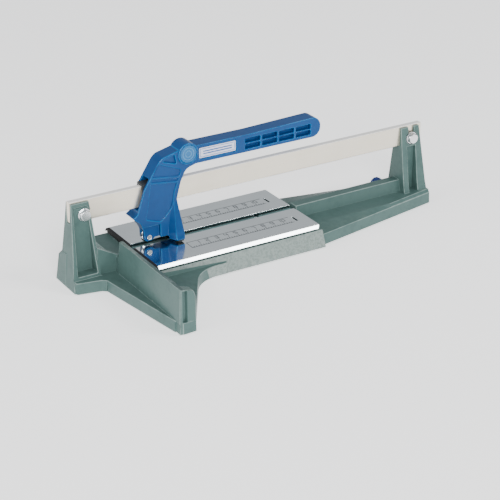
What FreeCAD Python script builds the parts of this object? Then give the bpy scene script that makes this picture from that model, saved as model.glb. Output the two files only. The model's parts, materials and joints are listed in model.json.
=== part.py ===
import FreeCAD, Part
import math
import os

# Small manual tile cutter. Millimetres, +Z up. Sizes are given in the rail frame: X = 0 at the
# plates' left edge, Y = 0 in the rail's middle plane, Z = 0 on the floor. Every node is moved at
# export so that the origin is the middle of the whole footprint, on the floor.

# Overall sizes
PLATE_LENGTH = 175.0
PLATE_WIDTH = 43.8
PLATE_GAP = 8.6
PLATE_TOP = 24.0
POST_HEIGHT = 80.6
BEAM_REACH = 123.0
FENCE_REACH = 135.2
FENCE_TOP = 43.0
GRIP_LENGTH = 135.0

# Plates
SHEET = 1.5
LIP_OUT = 2.8
LIP_DOWN = 3.0
PLATE_TRAVEL = 1.2
STUD_R = 2.0
RUNNING_GAP = 0.05
SPRING_R = 3.0
SPRING_WIRE_R = 0.45
SPRING_TURNS = 4
SPRING_WELL = 4.0

# Base casting
DECK = 18.5
DECK_WALL = 4.0
BOX_HALF = 52.5
BOX_DRAFT = 3.1
BOX_LEFT = 17.0
BOX_OVERHANG = 5.3
FLANGE = 12.0
RIB = 3.0
CELL_MAX = 36.0
SKIRT_LIFT = 0.8
POST_LEFT_OUT = 65.6
POST_LEFT_IN = 38.0
POST_RIGHT_WIDTH = 28.6
POST_HALF = 19.6
CHEEK_HALF = 4.9
SEAT_RELIEF = 0.4
RIDGE_TOP = 26.0
RIDGE_HALF = 8.0
FENCE_X = 21.0
FENCE_WALL = 3.6
FENCE_START = 22.0

# Rail and its bolts
RAIL_THICK = 6.0
RAIL_DEPTH = 20.0
RAIL_BOTTOM = 62.0
RAIL_END = 3.7
SLOT_CLEAR = 0.1
BOLT_R = 3.0
BOLT_HOLE_R = 3.3
HEX_AF = 10.0
HEAD_H = 4.0
WASHER_R = 6.0
WASHER_T = 1.2

# Carriage
PIVOT_X = 26.0
HANDLE_HALF = 8.0
PANEL_DEPTH = 1.3
PIN_COVER = 0.5
CHANNEL_HALF = 5.4
CHANNEL_RISE = 16.6
SHOE_HALF_LENGTH = 14.0
SHOE_WALL = 2.0
SHOE_SIDE = 5.1
SHOE_CLEAR = 0.2
PIN_R = 3.0
WHEEL_X = 17.5
WHEEL_Z = 31.5
WHEEL_R = 6.0
WHEEL_T = 2.0
AXLE_R = 1.5
FORK_HALF = 5.0
WING_HALF = 16.4
WING_BOTTOM = 25.6
BADGE_X = 57.6
BADGE_Z = 106.0
BADGE_R = 10.3
GRIP_START = 66.0
POCKETS = 4
POCKET_DEPTH = 5.0

# Knob and feet
KNOB_R = 6.8
KNOB_W = 9.0
FOOT_R = 7.0
FOOT_H = 4.0

# Derived places
RAIL_MID = RAIL_BOTTOM + RAIL_DEPTH / 2
BOX_RIGHT = PLATE_LENGTH + BOX_OVERHANG
POST_R0 = PLATE_LENGTH + BEAM_REACH
POST_R1 = POST_R0 + POST_RIGHT_WIDTH
BOLT_Z = RAIL_BOTTOM + 7.3
BOLT_LEFT_X = -46.6
BOLT_RIGHT_X = POST_R0 + 12.5
KNOB_X = POST_R0 + 0.5
KNOB_Z = 8.4
X_MID = (POST_R1 - POST_LEFT_OUT) / 2
Y_MID = (BOX_HALF - FENCE_REACH) / 2
PLATE_OUT = PLATE_GAP / 2 + PLATE_WIDTH
PIN_END = HANDLE_HALF - PANEL_DEPTH - PIN_COVER


def vec(x, y, z):
    return FreeCAD.Vector(x, y, z)


def box(x0, x1, y0, y1, z0, z1):
    return Part.makeBox(x1 - x0, y1 - y0, z1 - z0, vec(x0, y0, z0))


def outline(corners):
    """Closed 2-D outline from (u, v, radius) corners, as lists of line and arc points."""
    count = len(corners)
    runs = []
    for i in range(count):
        u, v, r = corners[i]
        here = vec(u, v, 0)
        if r <= 0:
            runs.append((here, None, here))
            continue
        back = vec(corners[i - 1][0], corners[i - 1][1], 0) - here
        ahead = vec(corners[(i + 1) % count][0], corners[(i + 1) % count][1], 0) - here
        back.normalize()
        ahead.normalize()
        half = back.getAngle(ahead) / 2
        reach = r / math.tan(half)
        middle = back + ahead
        middle.normalize()
        centre = here + middle * (r / math.sin(half))
        runs.append((here + back * reach, centre - middle * r, here + ahead * reach))
    return runs


def face_of(corners, place):
    """Planar face of a rounded outline; place turns (u, v) into a 3-D point."""
    runs = outline(corners)
    edges = []
    for i, (start, bend, end) in enumerate(runs):
        if bend is not None:
            arc = Part.Arc(place(start.x, start.y), place(bend.x, bend.y), place(end.x, end.y))
            edges.append(arc.toShape())
        following = runs[(i + 1) % len(runs)][0]
        edges.append(Part.makeLine(place(end.x, end.y), place(following.x, following.y)))
    return Part.Face(Part.Wire(edges))


def plan(corners, z0, z1):
    return face_of(corners, lambda u, v: vec(u, v, z0)).extrude(vec(0, 0, z1 - z0))


def side(corners, y0, y1):
    return face_of(corners, lambda u, v: vec(u, y0, v)).extrude(vec(0, y1 - y0, 0))


def end(corners, x0, x1):
    return face_of(corners, lambda u, v: vec(x0, u, v)).extrude(vec(x1 - x0, 0, 0))


def loft(sections):
    wires = [Part.makePolygon(points + [points[0]]) for points in sections]
    return Part.makeLoft(wires, True, True)


def rect(x0, x1, y0, y1, z):
    return [vec(x0, y0, z), vec(x1, y0, z), vec(x1, y1, z), vec(x0, y1, z)]


def cyl_y(x, z, r, y0, y1):
    return Part.makeCylinder(r, y1 - y0, vec(x, y0, z), vec(0, 1, 0))


def cyl_z(x, y, r, z0, z1):
    return Part.makeCylinder(r, z1 - z0, vec(x, y, z0), vec(0, 0, 1))


def hex_y(x, z, across, y0, y1):
    r = across / math.sqrt(3)
    turns = [math.radians(60 * k + 30) for k in range(6)]
    corners = [(x + r * math.cos(turn), z + r * math.sin(turn), 0) for turn in turns]
    return side(corners, y0, y1)


def mirror_y(shape):
    return shape.mirror(vec(0, 0, 0), vec(0, 1, 0))


def fuse(shapes):
    whole = shapes[0].fuse(shapes[1:]) if len(shapes) > 1 else shapes[0]
    return whole.removeSplitter()


def save(name, shapes):
    """Write one node, moved to the final origin. Several solids stay a group."""
    whole = shapes[0] if len(shapes) == 1 else Part.makeCompound(shapes)
    moved = whole.copy()
    moved.translate(vec(-X_MID, -Y_MID, 0))
    moved.exportStep("parts/" + name + ".step")


def washer_seat():
    """Distance of a washer's seat from the rail's middle plane."""
    return CHEEK_HALF + SEAT_RELIEF


# Base casting

def box_block():
    """Drafted box under the plates, its top the deck the plates spring on."""
    low = rect(-BOX_LEFT - 2, BOX_RIGHT, -BOX_HALF, BOX_HALF, SKIRT_LIFT)
    inner = BOX_HALF - BOX_DRAFT
    high = rect(-BOX_LEFT, BOX_RIGHT - 2.5, -inner, inner, DECK)
    return loft([low, high])


def beam_half(x):
    """Half width of the beam's skirt at the floor."""
    t = (x - BOX_RIGHT) / (POST_R1 - BOX_RIGHT)
    return 48.0 + (19.5 - 48.0) * t


def beam_section(x, half, flat):
    crown = FLANGE + 3
    return [vec(x, -half, SKIRT_LIFT), vec(x, -half + 0.8, FLANGE), vec(x, -flat, crown),
            vec(x, flat, crown), vec(x, half - 0.8, FLANGE), vec(x, half, SKIRT_LIFT)]


def beam_block():
    """Long beam that narrows from the box to the right post, with a sloping facet each side."""
    x0 = BOX_RIGHT - 6
    x1 = BOX_RIGHT + 0.63 * (POST_R1 - BOX_RIGHT)
    first = beam_section(x0, beam_half(x0), 27.0)
    second = beam_section(x1, beam_half(x1), beam_half(x1) - 3.5)
    third = beam_section(POST_R1, beam_half(POST_R1), beam_half(POST_R1) - 3.5)
    return loft([first, second]).fuse(loft([second, third]))


def ridge_block():
    """Raised rib along the middle of the beam."""
    low = FLANGE + 2
    a = [vec(BOX_RIGHT - 4, -RIDGE_HALF, low), vec(BOX_RIGHT - 4, -RIDGE_HALF + 3, RIDGE_TOP),
         vec(BOX_RIGHT - 4, RIDGE_HALF - 3, RIDGE_TOP), vec(BOX_RIGHT - 4, RIDGE_HALF, low)]
    b = [vec(POST_R0 + 4, p.y, p.z + (1.0 if p.z > low else 0.0)) for p in a]
    return loft([a, b])


def left_post():
    """Left post: drafted tower, a lobe low on its back and a flange band at its front foot."""
    low = rect(-POST_LEFT_OUT, -POST_LEFT_IN + 1.5, -POST_HALF, POST_HALF - 5, SKIRT_LIFT)
    waist = rect(-POST_LEFT_OUT + 2.1, -POST_LEFT_IN + 0.5, -14.6, 10.6, PLATE_TOP)
    neck = rect(-POST_LEFT_OUT + 5.8, -POST_LEFT_IN - 1.8, -7.4, 7.4, RAIL_BOTTOM)
    top = rect(-POST_LEFT_OUT + 6.8, -POST_LEFT_IN - 3.0, -CHEEK_HALF, CHEEK_HALF, POST_HEIGHT)
    tower = loft([low, waist]).fuse([loft([waist, neck]), loft([neck, top])])
    lobe_low = rect(-POST_LEFT_OUT, -POST_LEFT_IN + 1.5, 0, POST_HALF, SKIRT_LIFT)
    lobe_high = rect(-POST_LEFT_OUT + 2.2, -POST_LEFT_IN + 0.4, 0, POST_HALF - 3.3, PLATE_TOP + 3)
    crest = rect(-POST_LEFT_OUT + 2.8, -POST_LEFT_IN + 0.2, 0, 9.4, PLATE_TOP + 8)
    lobe = loft([lobe_low, lobe_high]).fuse(loft([lobe_high, crest]))
    foot = [(-POST_LEFT_OUT + 1.6, -10.0, 0), (-POST_LEFT_OUT + 1.0, -21.5, 2.5), (-41.6, -26.1, 5),
            (-38.2, -29.1, 2), (-BOX_LEFT, -29.1, 0), (-BOX_LEFT, POST_HALF - 2, 0),
            (-POST_LEFT_OUT + 6, POST_HALF - 2, 0), (-POST_LEFT_OUT + 6, -10.0, 0)]
    return fuse([tower, lobe, plan(foot, SKIRT_LIFT, FLANGE)])


def right_post():
    """Right post: the same tower, turned, with two ribs down its front."""
    low = rect(POST_R0, POST_R1, -18.5, 18.5, SKIRT_LIFT)
    waist = rect(POST_R0 + 0.1, POST_R1 - 2.0, -13.0, 13.0, PLATE_TOP)
    neck = rect(POST_R0 + 0.2, POST_R1 - 5.0, -7.4, 7.4, RAIL_BOTTOM)
    top = rect(POST_R0 + 0.3, POST_R1 - 6.8, -CHEEK_HALF, CHEEK_HALF, POST_HEIGHT)
    return fuse([loft([low, waist]), loft([waist, neck]), loft([neck, top])])


def post_pocket(x0, x1, y0, y1, floor=FLANGE + 3):
    """Recess between a post's two ribs, open to the front or back."""
    return box(x0, x1, y0, y1, floor, RAIL_BOTTOM - 1)


def front_recess():
    """Tapered recess down the left post's front, its back wall level with the washer's seat."""
    foot = FLANGE + 3
    corners = [(-POST_LEFT_OUT + 5.6, foot, 1), (-POST_LEFT_IN - 2.6, foot, 1),
               (-POST_LEFT_IN - 5.4, POST_HEIGHT - 4, 1), (-POST_LEFT_OUT + 9.2, POST_HEIGHT - 4, 1)]
    return side(corners, -30, -washer_seat())


def wing_block():
    """Low flange that reaches out under the fence, with a large inner curve to the box."""
    corners = [(-38.2, -29.1, 0), (-23.4, -FENCE_REACH + 8.3, 1), (-20.8, -FENCE_REACH + 7.8, 0),
               (-19.5, -FENCE_REACH, 2), (-7.4, -FENCE_REACH + 0.9, 2), (-5.1, -FENCE_REACH + 4.5, 2),
               (42.3, -BOX_HALF - 0.4, 35), (72.0, -BOX_HALF - 0.4, 0), (72.0, -40.0, 0),
               (-BOX_LEFT, -20.0, 0)]
    return plan(corners, SKIRT_LIFT, FLANGE)


def fence_block():
    """Upright fence along the wing, thick at its front end."""
    inner = -FENCE_X + FENCE_WALL
    low = rect(-FENCE_X - 1.5, inner + 1.2, -FENCE_REACH + 1, -FENCE_START + 4, FLANGE - 1)
    high = rect(-FENCE_X, inner, -FENCE_REACH + 2.2, -FENCE_START, FENCE_TOP)
    wall = loft([low, high])
    profile = [(-FENCE_X - 1.2, SKIRT_LIFT, 0), (-FENCE_X, FENCE_TOP, 0), (inner, FENCE_TOP, 2),
               (-9.0, FENCE_TOP - 2.5, 3), (-7.0, FENCE_TOP - 8, 2), (-6.2, SKIRT_LIFT, 0)]
    front = -FENCE_REACH + 0.8
    pillar = side(profile, front, front + 8)
    groove = plan([(-FENCE_X + 1.6, front - 1, 0), (-FENCE_X + 6.4, front - 1, 0),
                   (-FENCE_X + 5.4, front + 3.2, 0), (-FENCE_X + 2.4, front + 3.2, 0)], -1, FENCE_TOP - 1.6)
    return fuse([wall, pillar]).cut(groove)


def gusset():
    """Upright web between the left post and the fence."""
    low = FLANGE - 1
    profile = [(-39.5, low, 0), (-39.5, 38.5, 0), (-FENCE_X + 4, 25.7, 0), (-FENCE_X + 4, low, 0)]
    web = side(profile, -15.0, -10.5)
    tie = box(-FENCE_X - 0.5, -FENCE_X + 6, -FENCE_START - 1, -10.5, low, 25.7)
    return fuse([web, tie])


def cells(x0, x1, y0, y1, top):
    """Ribbed pockets cut up into the underside between two corners."""
    nx = max(1, math.ceil((x1 - x0 + RIB) / (CELL_MAX + RIB)))
    ny = max(1, math.ceil((y1 - y0 + RIB) / (CELL_MAX + RIB)))
    wide = (x1 - x0 - RIB * (nx - 1)) / nx
    deep = (y1 - y0 - RIB * (ny - 1)) / ny
    found = []
    for i in range(nx):
        for j in range(ny):
            left = x0 + i * (wide + RIB)
            near = y0 + j * (deep + RIB)
            found.append(box(left, left + wide, near, near + deep, -1, top))
    return found


def foot_places():
    return [(-52.0, 0.0), (POST_R0 + 14.0, 0.0), (-13.0, -FENCE_REACH + 16.0),
            (PLATE_LENGTH - 16.0, 40.0), (6.0, 40.0)]


def stud_places(sign):
    middle = sign * (PLATE_GAP / 2 + PLATE_WIDTH / 2)
    return [(18.0, middle), (PLATE_LENGTH - 18.0, middle)]


def spring_places(sign):
    middle = sign * (PLATE_GAP / 2 + PLATE_WIDTH / 2)
    return [(x, middle + side_step) for x in (34.0, PLATE_LENGTH - 34.0) for side_step in (-12, 12)]


def strip_places():
    return [(40.0, 0.0), (PLATE_LENGTH - 40.0, 0.0)]


def base_casting():
    solid = fuse([box_block(), beam_block(), ridge_block(), left_post(), right_post(),
                  wing_block(), fence_block(), gusset()])
    wall = DECK_WALL
    inner = BOX_HALF - wall - 3
    cuts = cells(-BOX_LEFT + wall, BOX_RIGHT - wall - 3, -inner, inner, DECK - wall)
    cuts += cells(BOX_RIGHT + wall, BOX_RIGHT + 55, -26.0, 26.0, FLANGE - 2)
    cuts += cells(BOX_RIGHT + 58, POST_R0 - 2, -18.0, 18.0, FLANGE - 2)
    cuts += cells(-16.0, 10.0, -86.0, -60.0, FLANGE - wall)
    cuts += cells(-16.0, -3.0, -112.0, -89.0, FLANGE - wall)
    x0 = -POST_LEFT_OUT + 9
    x1 = -POST_LEFT_IN - 5.5
    cuts += [front_recess(), post_pocket(x0 + 2, x1, 4, 30, PLATE_TOP + 12)]
    x0 = POST_R0 + 6.5
    x1 = POST_R1 - 12
    cuts += [post_pocket(x0, x1, -30, -4), post_pocket(x0, x1, 4, 30)]
    slot = RAIL_THICK / 2 + SLOT_CLEAR
    cuts.append(box(-POST_LEFT_OUT - 1, -POST_LEFT_IN + 5, -slot, slot, RAIL_BOTTOM, POST_HEIGHT + 1))
    cuts.append(box(POST_R0 - 2, POST_R1 + 1, -slot, slot, RAIL_BOTTOM, POST_HEIGHT + 1))
    for x in (BOLT_LEFT_X, BOLT_RIGHT_X):
        cuts.append(cyl_y(x, BOLT_Z, BOLT_HOLE_R, -20, 20))
        cuts.append(cyl_y(x, BOLT_Z, WASHER_R + 0.8, washer_seat(), 20))
        cuts.append(cyl_y(x, BOLT_Z, WASHER_R + 0.8, -20, -washer_seat()))
    cuts.append(box(BOLT_RIGHT_X - BOLT_HOLE_R, BOLT_RIGHT_X + BOLT_HOLE_R, -20, 20, BOLT_Z, POST_HEIGHT + 1))
    for sign in (-1, 1):
        cuts += [cyl_z(x, y, STUD_R + RUNNING_GAP, 0, DECK + 1) for x, y in stud_places(sign)]
        well = DECK - SPRING_WELL + 1
        cuts += [cyl_z(x, y, SPRING_R + 0.5, well, DECK + 1) for x, y in spring_places(sign)]
    cuts += [cyl_z(x, y, 1.3, DECK - 3.5, DECK + 1) for x, y in strip_places()]
    solid = solid.cut(cuts)
    bosses = []
    for x, y in foot_places():
        bosses.append(cyl_z(x, y, FOOT_R + 1, FOOT_H, FLANGE - 1))
    solid = solid.fuse(bosses)
    holes = []
    for x, y in foot_places():
        holes.append(cyl_z(x, y, FOOT_R + 0.4, -1, FOOT_H))
        holes.append(cyl_z(x, y, 1.6, FOOT_H - 1, FOOT_H + 5))
    holes.append(cyl_y(KNOB_X, KNOB_Z, 2.2, 8, 40))
    return solid.cut(holes).removeSplitter()


# Rail, bolts and feet

def rail_bar():
    left = -POST_LEFT_OUT + 6.6
    right = POST_R1 - 6.8 + RAIL_END
    bar = box(left, right, -RAIL_THICK / 2, RAIL_THICK / 2, RAIL_BOTTOM, RAIL_BOTTOM + RAIL_DEPTH)
    edges = [e for e in bar.Edges if abs(e.Length - (right - left)) < 0.01]
    bar = bar.makeChamfer(0.5, edges)
    holes = [cyl_y(x, BOLT_Z, BOLT_HOLE_R, -5, 5) for x in (BOLT_LEFT_X, BOLT_RIGHT_X)]
    return bar.cut(holes)


def rail_bolt(x):
    seat = washer_seat() + WASHER_T
    head = hex_y(x, BOLT_Z, HEX_AF, -seat - HEAD_H, -seat)
    face = vec(x, -seat - HEAD_H, BOLT_Z)
    crown = Part.makeCone(HEX_AF / 2 - 0.4, HEX_AF / 2 + 1.6, HEAD_H + 0.1, face, vec(0, 1, 0))
    shank = cyl_y(x, BOLT_Z, BOLT_R, -seat - 0.1, seat + 7)
    return fuse([head.common(crown), shank])


def rail_washer(x, sign):
    near = washer_seat()
    disc = cyl_y(x, BOLT_Z, WASHER_R, near, near + WASHER_T)
    ring = disc.cut(cyl_y(x, BOLT_Z, BOLT_R + 0.3, near - 1, near + 3))
    return ring if sign > 0 else mirror_y(ring)


def rail_nut(x):
    near = washer_seat() + WASHER_T
    return hex_y(x, BOLT_Z, HEX_AF, near, near + 5).cut(cyl_y(x, BOLT_Z, BOLT_R, near - 1, near + 6))


def rubber_foot(x, y):
    pad = cyl_z(x, y, FOOT_R, 0, FOOT_H)
    pad = pad.makeChamfer(0.6, [e for e in pad.Edges if e.BoundBox.ZMax < 0.1 and e.BoundBox.XLength > 1])
    return pad.cut([cyl_z(x, y, 3.4, -1, 1.8), cyl_z(x, y, 1.6, 1, FOOT_H + 1)])


def foot_screw(x, y):
    head = cyl_z(x, y, 2.9, 0.4, 1.8)
    shank = cyl_z(x, y, 1.6, 1.7, FOOT_H + 4.5)
    return fuse([head, shank])


# Sprung plates

def plate(sign):
    """Pressed plate: flat top, lip bent down along its outer side, cut corner and a scale slot."""
    inner = PLATE_GAP / 2
    lip = PLATE_OUT + LIP_OUT
    under = PLATE_TOP - SHEET
    edge = PLATE_TOP - LIP_DOWN
    top = [(inner, PLATE_TOP, 0), (PLATE_OUT, PLATE_TOP, 0.8), (lip, edge, 0), (lip - 1.1, edge - 0.8, 0),
           (PLATE_OUT - 0.7, under, 0), (inner + 1.2, under, 0),
           (inner + 1.2, PLATE_TOP - 3.6, 0), (inner, PLATE_TOP - 3.6, 0)]
    body = end(top, 0, PLATE_LENGTH)
    far = PLATE_OUT + LIP_OUT + 1
    trim = plan([(-1, 0, 0), (PLATE_LENGTH, 0, 1), (PLATE_LENGTH, far, 6), (-1, far, 0)], 0, PLATE_TOP + 1)
    body = body.common(trim)
    turned = box(0, 1.2, inner + 2, PLATE_OUT - 1.5, PLATE_TOP - 3.9, PLATE_TOP - 0.2)
    body = body.fuse(turned)
    slot = box(PLATE_LENGTH - 14, PLATE_LENGTH - 12, inner + 16, inner + 26, PLATE_TOP - 4, PLATE_TOP + 1)
    body = body.cut(slot).removeSplitter()
    return body if sign > 0 else mirror_y(body)


def plate_stud(x, y):
    top = PLATE_TOP - SHEET
    neck = cyl_z(x, y, STUD_R, DECK - DECK_WALL - 4, top)
    collar = cyl_z(x, y, 3.0, DECK + PLATE_TRAVEL + 0.3, top)
    under = DECK - DECK_WALL
    groove = cyl_z(x, y, STUD_R + 1, under - 2.0, under - 1.0).cut(cyl_z(x, y, 1.4, 0, 30))
    return fuse([neck, collar]).cut(groove)


def plate_clip(x, y):
    low = DECK - DECK_WALL - 1.9
    ring = cyl_z(x, y, 3.4, low, low + 0.8).cut(cyl_z(x, y, 1.5, 0, 30))
    return ring.cut(box(x, x + 5, y - 1.1, y + 1.1, 0, 30))


def plate_spring(x, y):
    low = DECK - SPRING_WELL + 1 + SPRING_WIRE_R
    high = PLATE_TOP - SHEET - SPRING_WIRE_R
    r = SPRING_R - SPRING_WIRE_R
    helix = Part.makeHelix((high - low) / SPRING_TURNS, high - low, r)
    ring = Part.Wire([Part.Circle(vec(r, 0, 0), vec(0, 1, 0), SPRING_WIRE_R).toShape()])
    coil = Part.Wire(helix.Edges).makePipeShell([ring], True, True)
    coil.translate(vec(x, y, low))
    return coil


def breaking_strip():
    section = [(-2.4, DECK, 0), (-2.4, 21.5, 0), (-0.8, 23.2, 0),
               (0.8, 23.2, 0), (2.4, 21.5, 0), (2.4, DECK, 0)]
    strip = end(section, 2, PLATE_LENGTH - 2)
    holes = []
    for x, y in strip_places():
        holes.append(cyl_z(x, y, 1.3, 0, 30))
        holes.append(cyl_z(x, y, 2.2, 20.5, 30))
    return strip.cut(holes)


def strip_screw(x, y):
    return fuse([cyl_z(x, y, 1.9, 20.5, 21.6), cyl_z(x, y, 1.3, DECK - 3.5, 20.6)])


# Carriage

def handle_profile():
    """Side outline of the handle casting, (x, z, corner radius)."""
    top = RAIL_BOTTOM + 50
    low = RAIL_BOTTOM + 32.5
    tip = GRIP_START + GRIP_LENGTH
    return [(43.5, WING_BOTTOM + 2.4, 1), (48.6, WING_BOTTOM + 0.4, 1.5), (49.3, 34.0, 8),
            (45.0, RAIL_BOTTOM, 22), (50.0, RAIL_BOTTOM + 18.5, 14), (55.6, RAIL_BOTTOM + 29.5, 10),
            (GRIP_START, low, 8),
            (tip, low, 9.2), (tip, top + 2.3, 9.2), (BADGE_X + 66, top - 0.2, 40), (BADGE_X + 10, top, 10),
            (BADGE_X - 4, top, 10), (31.9, top - 5.2, 6), (27.9, top - 8.8, 6),
            (13.0, RAIL_BOTTOM + 18.3, 10), (5.2, RAIL_BOTTOM - 5.0, 6), (0.6, RAIL_BOTTOM - 8.0, 0.8),
            (8.0, RAIL_BOTTOM - 14.5, 6), (12.6, 38.0, 8), (12.9, 29.5, 2), (15.5, 27.6, 1.5),
            (20.5, 27.6, 1.5), (23.5, 30.2, 2), (38.0, 30.4, 2)]


def body_recess(sign):
    """Shallow panel in the side of the body, crossed by two bars."""
    corners = [(16.0, 61.0, 3), (13.5, 50.5, 2), (28.5, 45.5, 2), (33.0, 49.0, 3), (41.0, 58.5, 4),
               (42.0, 66.0, 3), (43.0, 72.0, 3), (46.5, 81.0, 3), (50.5, 92.0, 2),
               (27.5, 101.5, 2), (20.0, 87.5, 6)]
    y0 = HANDLE_HALF - PANEL_DEPTH
    panel = side(corners, y0, y0 + 5)
    for z in (86.4, 91.2):
        bar = [(0, z, 0), (60, z - 8.6, 0), (60, z - 6.6, 0), (0, z + 2.0, 0)]
        panel = panel.cut(side(bar, y0 - 1, y0 + 6))
    return panel if sign > 0 else mirror_y(panel)


def corner_pocket(sign):
    """Small three-cornered pocket beside the badge boss."""
    corners = [(30.5, 103.4, 1), (44.0, 107.6, 1), (46.0, 98.4, 1)]
    pocket = side(corners, HANDLE_HALF - 2.4, HANDLE_HALF + 3)
    return pocket if sign > 0 else mirror_y(pocket)


def grip_pockets(sign):
    """Two rows of pockets in the side of the grip, thin webs between them."""
    x = BADGE_X + 59.4
    wide = (GRIP_START + GRIP_LENGTH - 10 - x) / POCKETS
    z0 = RAIL_BOTTOM + 35.5
    rise = 11.0
    found = []
    for i in range(POCKETS):
        for j in range(2):
            left = x + i * wide
            low = z0 + j * (rise / 2 + 0.4)
            right = left + wide
            high = low + rise / 2 - 0.8
            corners = [(left + 1, low, 1), (right - 1, low, 1), (right - 1, high, 1), (left + 1, high, 1)]
            found.append(side(corners, HANDLE_HALF - POCKET_DEPTH, HANDLE_HALF + 3))
    return found if sign > 0 else [mirror_y(shape) for shape in found]


def wing_section(z, nose, shoulder, back, half):
    """Level section of the breaker: a blunt nose at the left, swept back to its full width."""
    return [vec(nose, -3, z), vec(shoulder, -half, z), vec(back, -half, z),
            vec(back, half, z), vec(shoulder, half, z), vec(nose, 3, z)]


def breaker_wing():
    """Flared breaker: swept back and wider towards the bottom, arched in the middle over the ridge."""
    low = wing_section(WING_BOTTOM + 1, 33.5, 40.6, 48.8, WING_HALF)
    knee = wing_section(33, 33.5, 40.0, 48.9, WING_HALF - 0.8)
    high = wing_section(62, 34, 42.5, 45.2, HANDLE_HALF)
    flare = loft([low, knee]).fuse(loft([knee, high]))
    half = RIDGE_HALF + 0.6
    arch = end([(-half, 20, 0), (-half, 28.4, 0), (-half + 4, 31.0, 0),
                (half - 4, 31.0, 0), (half, 28.4, 0), (half, 20, 0)], 30, 52)
    return flare.cut(arch)


def rail_channel():
    """Room in the handle for the shoe and the rail, wider at the ends where the rocking needs it."""
    room = SHOE_HALF_LENGTH + 2.6
    top = RAIL_BOTTOM + RAIL_DEPTH
    half = CHANNEL_HALF
    rise = CHANNEL_RISE
    middle = box(PIVOT_X - room, PIVOT_X + room, -half, half, RAIL_MID - rise, RAIL_MID + rise)
    left = box(-10, PIVOT_X, -half, half, RAIL_BOTTOM - 1.6, top + 4.4)
    right = box(PIVOT_X, 60, -half, half, RAIL_BOTTOM - 5.6, top + 2.4)
    return [middle, left, right]


def handle_casting():
    body = side(handle_profile(), -HANDLE_HALF, HANDLE_HALF)
    boss = cyl_y(BADGE_X, BADGE_Z, BADGE_R, -HANDLE_HALF - 1.6, HANDLE_HALF)
    body = fuse([body, breaker_wing(), boss])
    cuts = rail_channel()
    cuts.append(box(-10, 28, FORK_HALF, 20, 20, 43))
    cuts.append(box(-10, 28, -20, -FORK_HALF, 20, 43))
    side_room = WHEEL_T / 2 + 0.5
    reach = WHEEL_R + 1.5
    cuts.append(box(WHEEL_X - reach - 6, WHEEL_X + reach, -side_room, side_room, 20, WHEEL_Z + reach))
    cuts.append(cyl_y(WHEEL_X, WHEEL_Z, AXLE_R, -20, 20))
    cuts.append(cyl_y(BADGE_X, BADGE_Z, BADGE_R - 1.7, -HANDLE_HALF - 3, -HANDLE_HALF - 0.8))
    for sign in (-1, 1):
        cuts.append(body_recess(sign))
        cuts.append(corner_pocket(sign))
        cuts += grip_pockets(sign)
    face = -HANDLE_HALF
    cuts.append(box(BADGE_X + 11.4, BADGE_X + 51, face - 1, face + 0.8, RAIL_BOTTOM + 36, RAIL_BOTTOM + 47))
    cuts.append(cyl_y(PIVOT_X, RAIL_MID, PIN_R, -PIN_END, PIN_END))
    return body.cut(cuts).removeSplitter()


def shoe_half(sign):
    """Nylon half that clasps one side of the rail."""
    x0 = PIVOT_X - SHOE_HALF_LENGTH
    x1 = PIVOT_X + SHOE_HALF_LENGTH
    low = RAIL_BOTTOM - SHOE_CLEAR - SHOE_WALL
    high = RAIL_BOTTOM + RAIL_DEPTH + SHOE_CLEAR + SHOE_WALL
    block = box(x0, x1, 0, SHOE_SIDE, low, high)
    rail = box(x0 - 1, x1 + 1, -1, RAIL_THICK / 2 + SHOE_CLEAR, low + SHOE_WALL, high - SHOE_WALL)
    half = block.cut([rail, cyl_y(PIVOT_X, RAIL_MID, PIN_R + RUNNING_GAP, 0, 20)])
    return half if sign > 0 else mirror_y(half)


def pivot_pin(sign):
    pin = cyl_y(PIVOT_X, RAIL_MID, PIN_R, RAIL_THICK / 2 + SHOE_CLEAR + 0.2, PIN_END)
    return pin if sign > 0 else mirror_y(pin)


def badge_disc():
    face = -HANDLE_HALF - 0.8
    disc = cyl_y(BADGE_X, BADGE_Z, BADGE_R - 2.0, face - 0.5, face)
    ring = cyl_y(BADGE_X, BADGE_Z, BADGE_R - 2.6, face - 0.7, face - 0.4)
    ring = ring.cut(cyl_y(BADGE_X, BADGE_Z, BADGE_R - 3.4, -20, 0))
    return fuse([disc, ring])


def label_plate():
    corners = [(BADGE_X + 12, RAIL_BOTTOM + 36.6, 1), (BADGE_X + 50.4, RAIL_BOTTOM + 36.6, 1),
               (BADGE_X + 50.4, RAIL_BOTTOM + 46.4, 1), (BADGE_X + 12, RAIL_BOTTOM + 46.4, 1)]
    return side(corners, -HANDLE_HALF + 0.3, -HANDLE_HALF + 0.8)


def breaker_pad(sign):
    blank = box(42.0, 47.8, RIDGE_HALF + 1.4, WING_HALF - 0.4, WING_BOTTOM - 0.4, WING_BOTTOM + 1)
    return blank if sign > 0 else mirror_y(blank)


def scoring_wheel():
    half = WHEEL_T / 2
    bore = AXLE_R + RUNNING_GAP
    corners = [(bore, -half, 0), (WHEEL_R - 1.4, -half, 0), (WHEEL_R, -0.1, 0),
               (WHEEL_R, 0.1, 0), (WHEEL_R - 1.4, half, 0), (bore, half, 0)]
    face = face_of(corners, lambda u, v: vec(WHEEL_X + u, v, WHEEL_Z))
    return face.revolve(vec(WHEEL_X, 0, WHEEL_Z), vec(0, 1, 0), 360)


def wheel_axle():
    pin = cyl_y(WHEEL_X, WHEEL_Z, AXLE_R, -FORK_HALF - 0.2, FORK_HALF + 1.6)
    head = cyl_y(WHEEL_X, WHEEL_Z, 2.4, -FORK_HALF - 1.2, -FORK_HALF)
    groove = cyl_y(WHEEL_X, WHEEL_Z, 3, FORK_HALF + 0.2, FORK_HALF + 1.0)
    groove = groove.cut(cyl_y(WHEEL_X, WHEEL_Z, 1.1, 0, 20))
    return fuse([pin, head]).cut(groove)


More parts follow.
